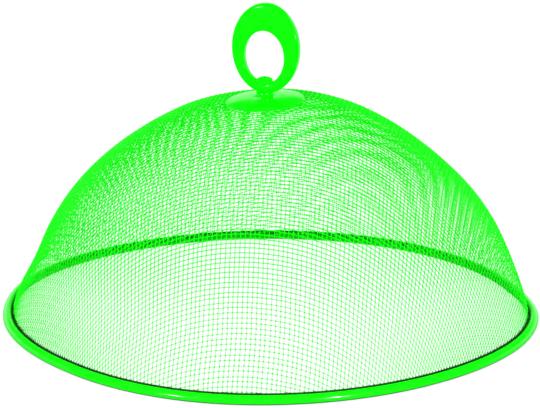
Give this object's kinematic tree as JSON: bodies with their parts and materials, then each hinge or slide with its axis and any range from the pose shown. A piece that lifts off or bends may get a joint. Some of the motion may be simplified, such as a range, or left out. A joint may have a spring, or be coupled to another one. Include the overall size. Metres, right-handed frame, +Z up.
{
  "type": "domed mesh food cover",
  "caption": "Domed wire-cloth cover with a rolled rim and an upright oval ring handle, set over a plate or bowl to keep insects off food.",
  "frame": {"origin": "middle of the rim, on the surface that the cover stands on", "axes": "+Z up the dome's axis; the ring handle's broad side faces -Y, turned 18 degrees towards -X"},
  "size_m": [0.35, 0.35, 0.2136],
  "materials": {
    "cloth_paint": "gloss powder coat on woven steel wire",
    "rim_paint": "gloss paint on rolled steel strip",
    "cap_paint": "gloss paint on pressed steel",
    "ring_paint": "gloss paint on a cast ring",
    "screw_paint": "gloss paint over the screw's head",
    "zinc_plate": "zinc plated"
  },
  "bodies": {
    "cover": {"mesh_dome": "cloth_paint", "rim_strip": "rim_paint", "rim_hoop_wire": "zinc_plate", "cap_plate": "cap_paint", "handle_collar": "cap_paint", "handle_screw": "screw_paint", "backing_washer": "zinc_plate", "lock_washer": "zinc_plate", "screw_nut": "zinc_plate"},
    "ring": {"handle_ring": "ring_paint"}
  },
  "joints": [
    {"name": "handle_swivel", "type": "hinge", "parent": "cover", "child": "ring", "pos_m": [-0.0042, 0, 0.16], "axis": [0, 0, 1], "continuous": true}
  ]
}
